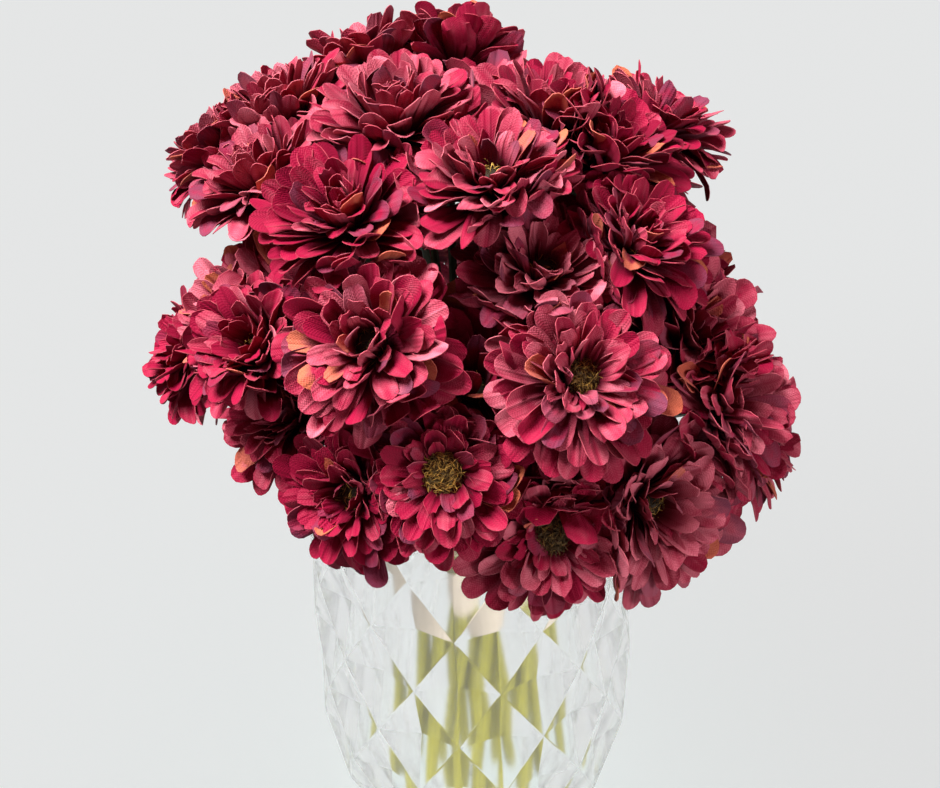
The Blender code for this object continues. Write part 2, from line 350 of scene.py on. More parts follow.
# %% [markdown]
# ## The floral tape
# The band is stretched paper tape in cream. Its crinkles run round the bundle, so the noise is
# squeezed along the height, and a value on the mesh darkens the edge where a turn laps over.

# %% Floral tape
TAPE_CREAMS = (0.60, 0.49, 0.37), (0.74, 0.64, 0.52)
LAP_SHADE = (0.45, 0.36, 0.24)


def floral_tape():
    """Stretched paper tape: cream, with fine crinkles across it."""
    made, tree, shader = finish("cream_tape")
    place = Wire.node(tree, "TexCoord", None, None, "Object")
    crinkle = noise(scaled(place, (700.0, 700.0, 160.0)), 1.0, 3.0)
    colour = blend(crinkle, *TAPE_CREAMS)
    colour = blend(attribute(tree, "lap") * 0.6, colour, LAP_SHADE)
    set_shader(
        shader,
        Base_Color=colour,
        Roughness=0.62 + crinkle * 0.15,
        Normal=bump(crinkle, 0.4, 0.0006),
    )
    return made


FLORAL_TAPE = floral_tape()
print("material:", FLORAL_TAPE.name)

# %% [markdown]
# ## The glass
# Pressed glass is clear and faintly cool. A see-through mix would be faster, but only a
# refracting shader breaks the stems up behind the facets, and the facets are in the mesh. A
# little roughness stands for the skin that a mould leaves.

# %% Clear glass
def clear_glass():
    """Pressed glass with a faint cool tint."""
    made, tree, shader = finish("clear_glass")
    set_shader(
        shader,
        Base_Color=(0.985, 0.990, 0.992, 1.0),
        Roughness=0.14,
        IOR=1.47,
        Transmission_Weight=0.98,
        Specular_IOR_Level=0.3,
    )
    return made


CLEAR_GLASS = clear_glass()
print("material:", CLEAR_GLASS.name)

# %% [markdown]
# ## Where the flowers are
# The CAD model places every flower by a bearing round the vase, a tilt from upright and a
# distance from one gather point low in the bunch. The same table is repeated here, because the
# petals have to lie in their solids. Bearing 0 is the front and 90 is the right-hand side.

# %% The table of flowers
GATHER = Vector((0.0, 0.0, 168 * MM))
OVERHANG = 22
CELL_REACH = math.radians(48)
ROLL_STEP = math.radians(37)

# Each spray: the bearing of its main stem, and its flowers as
# (bearing, tilt, distance in mm, turn, nod).
SPRAYS = {
    "centre": (None, [
        (-35, 12, 155, 0, 0),
        (60, 14, 151, 0, 0),
        (66, 22, 146, 10, 14),
        (11, 22, 156, 0, -8),
        (-112, 25, 151, 0, 0),
        (178, 25, 152, -6, 24),
        (150, 12, 136, 0, 0),
    ]),
    "front": (0, [
        (22, 31, 134, 0, 0),
        (-17, 42, 143, 0, 10),
        (21, 47, 137, 0, 0),
        (-4, 57, 123, 0, 0),
        (15, 69, 108, 0, 4),
        (-22, 62, 111, -4, 6),
        (19, 57, 100, 0, 0),
        (2, 43, 112, 0, 0),
    ]),
    "front_right": (60, [
        (45, 33, 144, 0, 0),
        (60, 48, 116, 0, 0),
        (35, 69, 110, -2, 4),
        (56, 60, 121, 4, 4),
        (70, 71, 112, 0, 6),
        (88, 62, 102, 0, 0),
        (74, 35, 110, 0, 0),
    ]),
    "back_right": (120, [
        (102, 29, 149, 0, 0),
        (95, 42, 102, 0, 0),
        (146, 30, 138, 0, 0),
        (134, 45, 130, 0, 0),
        (112, 64, 96, 0, 6),
        (140, 64, 108, 0, 6),
        (114, 47, 102, 0, 0),
    ]),
    "back": (180, [
        (160, 46, 138, 0, 0),
        (-171, 46, 138, 0, 0),
        (168, 65, 112, 0, 6),
        (-163, 64, 112, 0, 6),
        (-154, 27, 154, 0, 10),
        (170, 36, 108, 0, 0),
    ]),
    "back_left": (-120, [
        (-143, 46, 134, 0, 0),
        (-107, 36, 150, 0, 10),
        (-134, 64, 108, 0, 6),
        (-106, 64, 104, 0, 6),
        (-115, 52, 104, 0, 0),
    ]),
    "front_left": (-60, [
        (-30, 27, 151, 0, 0),
        (-84, 28, 141, 0, 0),
        (-69, 43, 118, 0, 0),
        (-45, 45, 130, 0, 0),
        (-80, 55, 117, 0, 2),
        (-43, 52, 108, 0, -6),
        (-54, 33, 112, 0, 0),
        (-120, 15, 125, 0, 0),
    ]),
}


def polar(radius, angle, height):
    """A point at a radius and a bearing angle (0 = front) from the vase's axis."""
    return Vector((radius * math.sin(angle), -radius * math.cos(angle), height))


def bearing_direction(bearing, tilt):
    """The unit vector that leans by tilt from upright towards a bearing (degrees)."""
    tilt = math.radians(tilt)
    return polar(math.sin(tilt), math.radians(bearing), math.cos(tilt))


def flower_place(flower):
    """A flower's centre and the direction that it faces."""
    bearing, tilt, reach, turn, nod = flower
    centre = GATHER + bearing_direction(bearing, tilt) * (reach * MM)
    return centre, bearing_direction(bearing + turn, tilt + nod)


FLOWERS = []
for spray_name, (_, spray_flowers) in SPRAYS.items():
    for number, spray_flower in enumerate(spray_flowers, 1):
        FLOWERS.append((f"{spray_name}_{number}", spray_flower))
DEEP_FLOWERS = {
    "centre_7", "front_7", "front_8", "front_right_7", "back_right_2", "back_right_7",
    "back_6", "back_left_5", "front_left_7", "front_left_8",
}
print("flowers:", len(FLOWERS), "of them deep in the bunch:", len(DEEP_FLOWERS))

# %% [markdown]
# ## One mesh from many parts
# Thousands of petals are built as arrays of points. This helper turns the arrays into one mesh
# object, keeps a named value on each point or face for the shader, and marks as sharp only the
# edges where the surface really folds.

# %% Mesh pieces
def mesh_piece(name, points, faces, material, point_values=None, face_values=None, sharp=60):
    """A smooth-shaded mesh object with values for its shader."""
    mesh = bpy.data.meshes.new(name)
    mesh.from_pydata([tuple(p) for p in points], [], faces)
    for domain, values in (("POINT", point_values), ("FACE", face_values)):
        for key, data in (values or {}).items():
            data = np.asarray(data, np.float32)
            kind = "FLOAT_VECTOR" if data.ndim == 2 else "FLOAT"
            layer = mesh.attributes.new(key, kind, domain)
            layer.data.foreach_set("vector" if data.ndim == 2 else "value", data.ravel())
    mesh.materials.append(material)
    mesh.shade_smooth()
    mesh.set_sharp_from_angle(angle=math.radians(sharp))
    made = bpy.data.objects.new(name, mesh)
    bpy.context.scene.collection.objects.link(made)
    return made


def place_piece(piece, slot, *nodes):
    """Fix a piece to the object and hide the solids it stands for; slot is not used."""
    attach(piece, "root")
    if nodes:
        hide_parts(*nodes)
    return piece


def triangle_count(*pieces):
    """How many triangles pieces have in all."""
    return sum(len(face.vertices) - 2 for piece in pieces for face in piece.data.polygons)


print("mesh helpers ready")

# %% [markdown]
# ## The shape of a petal
# A petal is a paddle: a narrow claw, a broad rounded tip, and one or two creases pressed along
# it. It could be sculpted once and copied, but no two cloth petals lie alike, so each is worked
# out from a few numbers: its length, its width, how steeply it leaves the centre, how it bends,
# cups and twists. A whole whorl of petals is worked out at once.

# %% Petal surfaces
# Whorl: petals, root radius, root height, length, half width (mm), root and tip angle (degrees)
WHORLS = [
    (15, 4.0, -9.0, 28.6, 4.3, 22, -8),
    (15, 4.0, -8.5, 27.6, 4.3, 27, -3),
    (15, 4.0, -8.0, 25.6, 4.2, 36, 9),
    (15, 3.9, -7.5, 24.8, 4.0, 41, 14),
    (14, 3.8, -7.0, 23.0, 3.7, 53, 24),
    (14, 3.7, -6.5, 21.5, 3.5, 59, 30),
    (13, 3.6, -6.0, 18.5, 3.0, 72, 40),
    (13, 5.0, -5.0, 14.5, 2.5, 82, 50),
]
# For each whorl: rows and columns of a petal's mesh, and how frayed its tip is, in mm
GRIDS = [(4, 8), (4, 8), (4, 8), (4, 8), (4, 6), (4, 6), (4, 6), (4, 4)]
RAGGED = [0.08, 0.08, 0.08, 0.12, 0.2, 0.35, 0.6, 0.9]
# The columns lie at angles round the tip, in degrees, so that it comes out round.
COLUMN_TURNS = {
    8: (-90, -66, -43, -21, 0, 21, 43, 66, 90),
    6: (-90, -58, -29, 0, 29, 58, 90),
    4: (-90, -45, 0, 45, 90),
}
CLAW = 0.32  # width at the root as a share of the widest part
STRAY_SHARE = 0.12  # share of the petals that bend away from the others
STRAY_TURN = 32.0
PETAL_THICKNESS = 0.24 * MM
# How petals differ: the middle and the spread of each quality
PETAL_SIZE = 1.0, 0.05
PETAL_WIDTH = 1.0, 0.08
CUPPING = 0.12, 0.26
CREASE_DEPTH = 0.75, 0.35  # mm
TWIST = 0.0, 17.0  # degrees
SWAY = 0.0, 0.06
BLUNTNESS = 1.15, 0.10
DROOP = 0.6, 1.0
ROOT_SPREAD, BEND_SPREAD = 6.0, 16.0  # degrees
PLACE_SPREAD = 0.12  # of the step from one petal to the next
CREASE_BAND = 0.30, 0.52  # where the creases run, as a share of half the width
CREASE_WIDTH = 0.20
WAVE_HEIGHT = 0.4  # mm
TIP_DROOP = 1.1  # mm
LEAST_BEND = 0.03  # radians


def smooth(value):
    """0 below 0, 1 above 1, and a smooth step between them."""
    value = np.clip(value, 0.0, 1.0)
    return value * value * (3 - 2 * value)


def petal_sheets(rng, whorl, level, rows, columns, ragged):
    """Middle surfaces of one whorl's petals in the flower's frame, in metres.

    Each point also gets its place on the cloth and its place in the petal's folds."""
    count, root_radius, root_height, length, half_width, root_angle, tip_angle = whorl
    u = (1 - (1 - np.linspace(0, 1, rows + 1)) ** 1.25)[None, :, None]
    round_turn = np.radians(COLUMN_TURNS[columns])[None, None, :]
    v = np.sin(round_turn)

    def vary(middle, spread):
        return middle + spread * rng.standard_normal((count, 1, 1))

    length = length * vary(*PETAL_SIZE)
    width = half_width * vary(*PETAL_WIDTH)
    stray = np.where(rng.random((count, 1, 1)) < STRAY_SHARE, vary(0.0, STRAY_TURN), 0.0)
    start = np.radians(vary(root_angle, ROOT_SPREAD))
    bend = np.radians(vary(tip_angle - root_angle, BEND_SPREAD) + stray)
    bend = np.where(np.abs(bend) < LEAST_BEND, LEAST_BEND, bend)
    cup = vary(*CUPPING)
    crease = np.abs(vary(*CREASE_DEPTH))
    twist = np.radians(vary(*TWIST))
    sway = vary(*SWAY)
    wave = rng.uniform(0, 2 * np.pi, (count, 1, 1))
    groove = rng.uniform(*CREASE_BAND, (count, 1, 1))

    fray = rng.standard_normal((count, 1, columns + 1)) * ragged
    blunt = width / length * vary(*BLUNTNESS)
    distance = u * (1 - blunt * (1 - np.cos(round_turn)))
    distance = distance + fray * smooth((u - 0.8) / 0.2) / length
    half = width * (CLAW + (1 - CLAW) * smooth(u / 0.80))
    side = v * half
    lift = half * cup * v**2
    pressed_in = crease * np.exp(-(((np.abs(v) - groove) / CREASE_WIDTH) ** 2))
    lift = lift - pressed_in * (1 - smooth((u - 0.55) / 0.4))
    lift = lift + WAVE_HEIGHT * np.sin(wave + 4.5 * u + 2.2 * v) * u
    lift = lift - TIP_DROOP * smooth((distance - 0.70) / 0.30) * vary(*DROOP)
    turn = twist * u
    lift, side = lift + side * np.sin(turn), side * np.cos(turn)
    side = side + length * sway * u**2

    angle = start + bend * distance
    out = length * (np.sin(angle) - np.sin(start)) / bend
    rise = length * (np.cos(start) - np.cos(angle)) / bend
    x = root_radius + out - lift * np.sin(angle)
    z = root_height + rise + lift * np.cos(angle)
    step = 2 * np.pi / count
    own_place = np.arange(count)[:, None, None] + 0.5 * (level % 2)
    azimuth = step * (own_place + vary(0.0, PLACE_SPREAD))
    points = np.stack([
        x * np.cos(azimuth) - side * np.sin(azimuth),
        x * np.sin(azimuth) + side * np.cos(azimuth),
        z + 0 * v,
    ], axis=-1) * MM
    seed = rng.uniform(0, 40, (count, 1, 1))
    shape = points.shape[:3]

    def on_points(*values):
        return np.stack([np.broadcast_to(value, shape) for value in values], axis=-1)

    fold = on_points(u, v, seed)
    cloth = on_points(u * length + seed, v * half + 3 * seed, seed)
    return points, cloth, fold


def sheet_faces(rows, columns):
    """Faces of a thin closed sheet: front, back, and the cut edge round them."""
    wide = columns + 1
    back = (rows + 1) * wide
    front = []
    for row in range(rows):
        for column in range(columns):
            a = row * wide + column
            front.append((a, a + wide, a + wide + 1, a + 1))
    rear = [tuple(back + k for k in reversed(face)) for face in front]
    loop = list(range(wide))
    loop += [row * wide + columns for row in range(1, rows + 1)]
    loop += [rows * wide + column for column in range(columns - 1, -1, -1)]
    loop += [row * wide for row in range(rows - 1, 0, -1)]
    edge = []
    for here, after in zip(loop, loop[1:] + loop[:1]):
        edge.append((here, after, back + after, back + here))
    rim = [0] * (len(front) + len(rear)) + [1] * len(edge)
    return np.array(front + rear + edge), np.array(rim)


def sheet_normals(points):
    """The normal of a grid of points at each point."""
    along = np.gradient(points, axis=1)
    across = np.gradient(points, axis=2)
    normal = np.cross(along, across)
    return normal / np.maximum(np.linalg.norm(normal, axis=-1, keepdims=True), 1e-12)


outer_faces, outer_rim = sheet_faces(*GRIDS[0])
print("faces of an outer petal:", len(outer_faces), "on its cut edge:", int(outer_rim.sum()))

# %% [markdown]
# ## Crowding
# In a tight bunch a flower has no room to open flat. Where its petals meet a neighbour's they
# bend up along the seam between the two heads. A cloth simulation of nearly five thousand
# petals would be slow, so each point that comes near the seam is moved back from it and up.

# %% Press petals against their neighbours
SEAM_ROOM = 3.0 * MM  # from here on a point feels the seam
SEAM_MOST = 7 * MM
CLIMB = 0.65  # rise for each mm of push
CLIMB_MOST = 6 * MM
RIM_CLEAR_HEIGHT = 188 * MM
RIM_CLEAR_RADIUS = 63.5 * MM


def angle_between(first, second):
    """The angle at the gather point between two flowers."""
    a = bearing_direction(first[0], first[1])
    b = bearing_direction(second[0], second[1])
    return a.angle(b)


def pressed(points, name, flower, slack):
    """The points of a flower after its neighbours and the vase's rim have pushed on them.

    slack is how far each petal may reach over the seam, in metres."""
    _, facing = flower_place(flower)
    own = bearing_direction(flower[0], flower[1])
    gather = np.array(GATHER)
    moved = points
    for other_name, other in FLOWERS:
        if other_name == name or angle_between(flower, other) > CELL_REACH:
            continue
        if abs(other[2] - flower[2]) > OVERHANG:
            continue
        apart = np.array((own - bearing_direction(other[0], other[1])).normalized())
        room = (moved - gather) @ apart + slack
        squeezed = SEAM_ROOM * np.exp(np.minimum(room / SEAM_ROOM - 1, 0))
        kept = np.where(room < SEAM_ROOM, squeezed, room)
        moved = moved + apart * np.minimum(kept - room, SEAM_MOST)[..., None]
    far = np.linalg.norm(moved - points, axis=-1, keepdims=True)
    kept = np.minimum(far, SEAM_MOST)
    points = points + (moved - points) * kept / np.maximum(far, 1e-9)
    points = points + np.array(facing) * np.minimum(kept * CLIMB, CLIMB_MOST)
    flat = np.hypot(points[..., 0], points[..., 1])
    low = points[..., 2] < RIM_CLEAR_HEIGHT
    outward = RIM_CLEAR_RADIUS / np.maximum(flat, 1e-6)
    push = np.where(low & (flat < RIM_CLEAR_RADIUS), outward, 1.0)
    points[..., 0] *= push
    points[..., 1] *= push
    return points


print("flowers press on each other within", round(math.degrees(CELL_REACH)), "degrees")

# %% [markdown]
# ## A flower head's petals
# A full head has eight whorls, from long flat outer petals to short ragged ones that stand
# round the centre. A head deep in the bunch has every second whorl only, and is larger, so
# that it closes the gap between its neighbours. Real heads also differ in size and in how far
# they have opened, and two small tables say so; a third paints light and shade on whole heads.
# All petals of a head are one mesh.

# %% Build the petals of a head
DEEP_SIZE = 1.25
DEEP_GRID = (4, 4)
HEAD_SIZES = {
    "centre_2": 0.98, "centre_3": 1.12, "centre_5": 0.94, "front_3": 1.0, "front_4": 0.94,
    "front_5": 0.97, "front_6": 0.88, "front_right_1": 0.93, "front_right_2": 1.20,
    "front_right_3": 1.15, "front_right_4": 1.08, "front_right_5": 1.05, "front_right_6": 0.88,
    "back_right_1": 0.95, "back_right_2": 1.5, "back_right_3": 0.92, "back_right_5": 0.84,
    "back_right_7": 1.45, "back_6": 1.55, "back_left_1": 0.92, "back_left_2": 0.82,
    "back_left_5": 0.90, "front_left_2": 0.94, "front_left_3": 0.95, "front_left_5": 0.88,
    "front_left_6": 0.88, "front_left_7": 1.45, "front_left_8": 1.45,
}
# Painted light and shade for each head: above 0 the cloth is rosier than usual, as painted
# light, and below 0 it is nearer to deep crimson, as painted shade.
HEAD_PAINTED_LIGHT = {
    "centre_1": 0.15, "centre_2": -0.1, "centre_3": -0.65, "centre_5": 0.2, "centre_6": -0.2,
    "front_1": 0.25, "front_2": -0.04, "front_4": -0.3, "front_5": 0.03, "front_6": -0.55,
    "front_7": -0.6, "front_8": -0.4, "front_right_1": -0.38, "front_right_3": 0.4,
    "front_right_6": -0.25, "front_left_1": -0.25, "front_left_2": 0.12,
    "front_left_3": 0.3, "front_left_4": -0.3, "front_left_5": -0.5, "front_left_6": 0.1,
    "back_left_1": 0.2, "back_left_2": 0.1, "back_left_5": 0.5, "back_right_1": -0.15,
    "back_right_4": -0.3,
}
# Paleness sets how much painted sheen a petal shows; inner whorls are a step paler
PALE_MIDDLE, PALE_STEP, PALE_SPREAD = 0.42, 0.02, 0.24  # the step is for each whorl inwards
PRINTED_ORANGE, PRINTED_PLUM = 0.042, 0.16  # shares of the petals
# How closed a head is. Below 0 it is wide open and shows its centre. Above BUD_FROM all of its
# petals stand up, as in a bud that is still unfolding. Other heads draw from CLOSED_RANGE.
CLOSED = {
    "centre_1": 1.75, "centre_2": 1.5, "centre_4": 0.3, "centre_5": 1.8, "front_3": -0.25,
    "front_4": -0.45, "front_5": -0.6, "front_right_3": 0.2, "front_right_4": 0.2,
    "front_left_1": 1.5, "front_left_2": 1.7, "back_left_2": 1.6,
}
CLOSED_RANGE = 0.6, 1.2
WHORL_RAISE = (0, 0, 1, 3, 7, 13, 22, 34)  # degrees at 1.0, from the outer whorl inwards
BUD_FROM, BUD_RAISE = 1.3, 40
ROOT_SHARE = 0.3  # how much of a tip's rise the root takes part in
SEAM_SLACK = 3.2, 2.2  # mm that petals reach over a seam: middle and spread
PETAL_SEED = 1000


def closing(whorl, level, closed, size):
    """The whorl with its petals raised, as a flower that has not opened fully holds them."""
    count, root_radius, root_height, length, half_width, root_angle, tip_angle = whorl
    raised = closed * WHORL_RAISE[level] + max(0.0, closed - BUD_FROM) * BUD_RAISE
    return (
        count, root_radius, root_height, length * size, half_width * size,
        root_angle + ROOT_SHARE * raised, tip_angle + raised,
    )


def petal_head(index, name, flower):
    """All petals of one flower head, in place."""
    rng = np.random.default_rng(PETAL_SEED + index)
    centre, facing = flower_place(flower)
    roll = Matrix.Rotation(ROLL_STEP * index, 3, "Z")
    turn = np.array(facing.to_track_quat("Z", "Y").to_matrix() @ roll)
    deep = name in DEEP_FLOWERS
    points, faces, rims, cloths, folds, tints = [], [], [], [], [], []
    offset = 0
    closed = CLOSED.get(name, rng.uniform(*CLOSED_RANGE))
    size = HEAD_SIZES.get(name, DEEP_SIZE if deep else 1.0)
    for level, whorl in enumerate(WHORLS):
        if deep and level % 2:
            continue
        rows, columns = DEEP_GRID if deep else GRIDS[level]
        held = closing(whorl, level, closed, size)
        sheet, cloth, fold = petal_sheets(rng, held, level, rows, columns, RAGGED[level])
        sheet = sheet @ turn.T + np.array(centre)
        count = len(sheet)
        slack = rng.normal(*SEAM_SLACK, (count, 1, 1)) * MM
        sheet = pressed(sheet, name, flower, slack)
        outwards = sheet_normals(sheet) * PETAL_THICKNESS / 2
        both = np.stack([sheet + outwards, sheet - outwards], axis=1)
        points.append(both.reshape(-1, 3))
        cloths.append(np.stack([cloth, cloth], axis=1).reshape(-1, 3))
        folds.append(np.stack([fold, fold], axis=1).reshape(-1, 3))
        template, rim = sheet_faces(rows, columns)
        each = both[0].size // 3
        starts = offset + each * np.arange(count)
        faces.append((template[None] + starts[:, None, None]).reshape(-1, 4))
        rims.append(np.tile(rim, count))
        offset += each * count
        # Painted light and shade: the head's table value moves its petals towards rose sheen or
        # deep crimson
        tone = PALE_MIDDLE + PALE_STEP * level + HEAD_PAINTED_LIGHT.get(name, 0.0)
        pale = np.clip(rng.normal(tone, PALE_SPREAD, count), -1, 1)
        warm = (rng.random(count) < PRINTED_ORANGE) * rng.uniform(0.7, 1.0, count)
        plum = (rng.random(count) < PRINTED_PLUM) * rng.uniform(0.5, 1.0, count)
        tints.append(np.repeat(np.stack([pale, warm, plum], axis=1), len(template), axis=0))
    face_values = dict(zip(("pale", "warm", "plum"), np.concatenate(tints).T))
    face_values["rim"] = np.concatenate(rims)
    piece = mesh_piece(
        "petals_" + name,
        np.concatenate(points),
        np.concatenate(faces).tolist(),
        PETAL_CLOTH,
        {"cloth": np.concatenate(cloths), "fold": np.concatenate(folds)},
        face_values,
        sharp=50,
    )
    return place_piece(piece, "burgundy_fabric", "daisy_" + name)


petal_pieces = [petal_head(index, *named_flower) for index, named_flower in enumerate(FLOWERS)]
print("petal pieces:", len(petal_pieces), "triangles:", triangle_count(*petal_pieces))

# %% [markdown]
# ## The centre of a flower
# The centre is a small cushion with a mop of curled fibres standing on it. Hair strands would
# be quick, but they don't survive as a mesh, so each fibre is a thin three-sided tube that
# curls round its own axis.

# %% Build the centres
CUSHION_RADIUS = 5.6
CUSHION_EDGE = 0.4
CUSHION_TOP = -0.5
CUSHION_RISE = 3.5
CUSHION_BUMP = 0.25
CUSHION_SIDES, CUSHION_RINGS = 20, 6
CUSHION_FOOT_RADIUS, CUSHION_FOOT_DEPTH = 5.0, 5.0
MOP_REACH = CUSHION_RADIUS + 1.8
FIBRE_RADIUS = 0.10
FIBRE_STEP, FIBRE_DRIFT = 0.95, 0.18  # mm that each part goes ahead and to the side
FIBRE_PARTS = 5
FIBRE_LEAN, FIBRE_SPREAD = 0.09, 0.45
FIBRE_CURL = 0.35, 1.0  # radians that each part bends, least and most
FIBRE_SINK = 0.4  # mm
DEEP_FIBRES, OPEN_FIBRES, OTHER_FIBRES = 40, 560, 60
CENTRE_SEED = 5000
# The cushions of wide-open heads: how far they are lifted, in mm, and how much painted shade dims
# their fibres
OPEN_CUSHION_LIFT = {"front_4": 2.0, "front_3": -0.5, "front_5": 2.0}
FIBRE_PAINTED_SHADE = {"front_3": 0.8, "front_5": 0.6}


def cushion_height(radius):
    """How high the cushion is, in mm, at a radius from the flower's axis."""
    dome = np.sqrt(np.clip(1 - (radius / (CUSHION_RADIUS + CUSHION_EDGE)) ** 2, 0, 1))
    return CUSHION_TOP - CUSHION_RISE + CUSHION_RISE * dome


def fibres(rng, count):
    """Curled tubes in mm: points, faces and a tone for each point."""
    azimuth = rng.uniform(0, 2 * np.pi, count)
    radius = CUSHION_RADIUS * np.sqrt(rng.random(count)) * 0.95
    root = cushion_height(radius) - FIBRE_SINK
    place = np.stack([radius * np.cos(azimuth), radius * np.sin(azimuth), root], axis=1)
    heading = place * [FIBRE_LEAN, FIBRE_LEAN, 0.0]
    heading = heading + rng.standard_normal((count, 3)) * FIBRE_SPREAD + [0, 0, 1.0]
    heading /= np.linalg.norm(heading, axis=1, keepdims=True)
    axis = np.cross(heading, rng.standard_normal((count, 3)))
    axis /= np.linalg.norm(axis, axis=1, keepdims=True)
    curl = rng.uniform(*FIBRE_CURL, (count, 1))
    bright = rng.random(count) ** 0.8 * 0.8 + 0.2
    points, tones = [], []
    for part in range(FIBRE_PARTS + 1):
        beside = np.cross(axis, heading)
        thin = FIBRE_RADIUS * (1.0 if part < FIBRE_PARTS else 0.4)
        for corner in range(3):
            angle = 2 * math.pi * corner / 3
            points.append(place + (axis * math.cos(angle) + beside * math.sin(angle)) * thin)
            # Painted shade: each fibre darkens towards its root inside the mop; bright is its own
            # random tone
            tones.append(bright * (0.25 + 0.75 * part / FIBRE_PARTS))
        place = place + heading * FIBRE_STEP + axis * FIBRE_DRIFT
        far = np.hypot(place[:, 0], place[:, 1])[:, None]
        pull = np.where(far > MOP_REACH, MOP_REACH / np.maximum(far, 1e-6), 1.0)
        place = place * np.concatenate([pull, pull, np.ones_like(pull)], axis=1)
        heading = heading * np.cos(curl) + beside * np.sin(curl)
    points = np.stack(points, axis=1).reshape(-1, 3)
    tones = np.stack(tones, axis=1).ravel()
    rings = FIBRE_PARTS + 1
    tube = []
    for part in range(FIBRE_PARTS):
        for corner in range(3):
            a, b = part * 3 + corner, part * 3 + (corner + 1) % 3
            tube.append((a, b, b + 3, a + 3))
    faces = []
    for start in range(0, count * rings * 3, rings * 3):
        faces += [tuple(start + k for k in face) for face in tube]
        faces.append((start + 2, start + 1, start))
        faces.append(tuple(start + 3 * FIBRE_PARTS + k for k in range(3)))
    return points, faces, tones


def cushion(rng):
    """A small bumpy closed dome in mm: points, faces and tones."""
    sides, rings = CUSHION_SIDES, CUSHION_RINGS
    points, faces = [(0.0, 0.0, cushion_height(0.0))], []
    for ring in range(1, rings + 1):
        radius = CUSHION_RADIUS * ring / rings
        for side in range(sides):
            angle = 2 * math.pi * side / sides
            height = cushion_height(radius) + rng.uniform(-CUSHION_BUMP, CUSHION_BUMP)
            points.append((radius * math.cos(angle), radius * math.sin(angle), height))
    radius, height = CUSHION_FOOT_RADIUS, CUSHION_TOP - CUSHION_FOOT_DEPTH
    for side in range(sides):
        angle = 2 * math.pi * side / sides
        points.append((radius * math.cos(angle), radius * math.sin(angle), height))
    for side in range(sides):
        after = (side + 1) % sides
        faces.append((0, 1 + side, 1 + after))
        for ring in range(rings):
            low, high = 1 + (ring + 1) * sides, 1 + ring * sides
            faces.append((high + side, low + side, low + after, high + after))
    faces.append(tuple(1 + rings * sides + side for side in reversed(range(sides))))
    return points, faces, [0.0] * len(points)


def fibre_count(name):
    """A full mop for a wide-open head, and the few fibres that show in the others."""
    if name in DEEP_FLOWERS:
        return DEEP_FIBRES
    return OPEN_FIBRES if CLOSED.get(name, 1) < 0 else OTHER_FIBRES


def centre_piece(index, name, flower):
    """The fuzzy centre of one flower, in place."""
    rng = np.random.default_rng(CENTRE_SEED + index)
    centre, facing = flower_place(flower)
    turn = np.array(facing.to_track_quat("Z", "Y").to_matrix())
    bed_points, bed_faces, bed_tones = cushion(rng)
    points, faces, tones = fibres(rng, fibre_count(name))
    lift = [0, 0, OPEN_CUSHION_LIFT.get(name, 0.0)]
    points = (np.concatenate([np.array(bed_points), points]) + lift) * MM
    points = points @ turn.T + np.array(centre)
    faces = bed_faces + [tuple(len(bed_points) + k for k in face) for face in faces]
    # Painted shade dims the fibres of some open heads
    tones = np.concatenate([bed_tones, tones * FIBRE_PAINTED_SHADE.get(name, 1.0)])
    piece = mesh_piece("centre_" + name, points, faces, MOP_FIBRE, {"tone": tones})
    return place_piece(piece, "burgundy_fabric")


centre_pieces = [centre_piece(index, *named_flower) for index, named_flower in enumerate(FLOWERS)]
print("centre pieces:", len(centre_pieces), "triangles:", triangle_count(*centre_pieces))

# %% [markdown]
# ## Stems
# Each spray is moulded in one: a thick ribbed main stem that divides into a thin branch for
# each flower, and a lobed green calyx that holds the petals. The six outer stems slant past one
# another like straws, so the bundle has a waist where the tape holds it. A bevelled curve
# would give a plain tube; rings of points along the path also give ribs, joints and grooves.

# %% Build the sprays
FLOOR_HEIGHT = 12 * MM
MAIN_STEM_RADIUS = 4.8 * MM
WAIST_RADIUS = 10.6 * MM
WAIST_HEIGHT = 125 * MM
STEM_SLANT = 0.19
HUB_HEIGHT = 166 * MM
BRANCH_RADIUS = 1.5 * MM
CALYX_DEPTH = 17 * MM
GAP = 0.3 * MM
CROWN = 5 * MM  # how far a main stem goes on above its hub
HUB_SINK = 2 * MM  # how far below the hub the branches start
MAIN_STEPS, BRANCH_STEPS, BRANCH_SIDES = 40, 12, 7
LEAVE_SHARE, ARRIVE_SHARE = 0.3, 0.45  # how far a branch runs straight, of its whole span
RIBS = 9
RIB_MIDDLE, RIB_DEPTH = 0.965, 0.035
STEM_JOINTS, JOINT_SHARE, JOINT_SWELL = (0.42, 0.72), 0.012, 0.05
TOP_FROM, TOP_LENGTH, TOP_TAPER = 0.95, 0.05, 0.3
BRANCH_SWELL = 0.25
# Painted shade on the branches and calyxes, which lie under the heads
BRANCH_SHADE, CALYX_SHADE = 0.9, 0.55  # how dark the branches and calyxes are
# The calyx: radius and height of each ring, in mm, up to its two lobed rings and back inside
CALYX_PROFILE = [
    (1.4, -17.2), (2.9, -16.2), (3.5, -14.0), (3.6, -11.0), (6.4, -7.6), (5.9, -7.2), (3.0, -9.6),
]
LOBED_RINGS = 4, 5
CALYX_LOBES = 7
LOBE_OUT, LOBE_UP = 2.4, 2.2  # mm


def ring_stem_point(bearing, height):
    """Where a ring stem is at a height."""
    run = STEM_SLANT * (height - WAIST_HEIGHT)
    hub_run = STEM_SLANT * (HUB_HEIGHT - WAIST_HEIGHT)
    angle = math.radians(bearing) - math.atan2(hub_run, WAIST_RADIUS)
    beside = Vector((math.cos(angle), math.sin(angle), 0.0))
    return polar(WAIST_RADIUS, angle, height) + beside * run


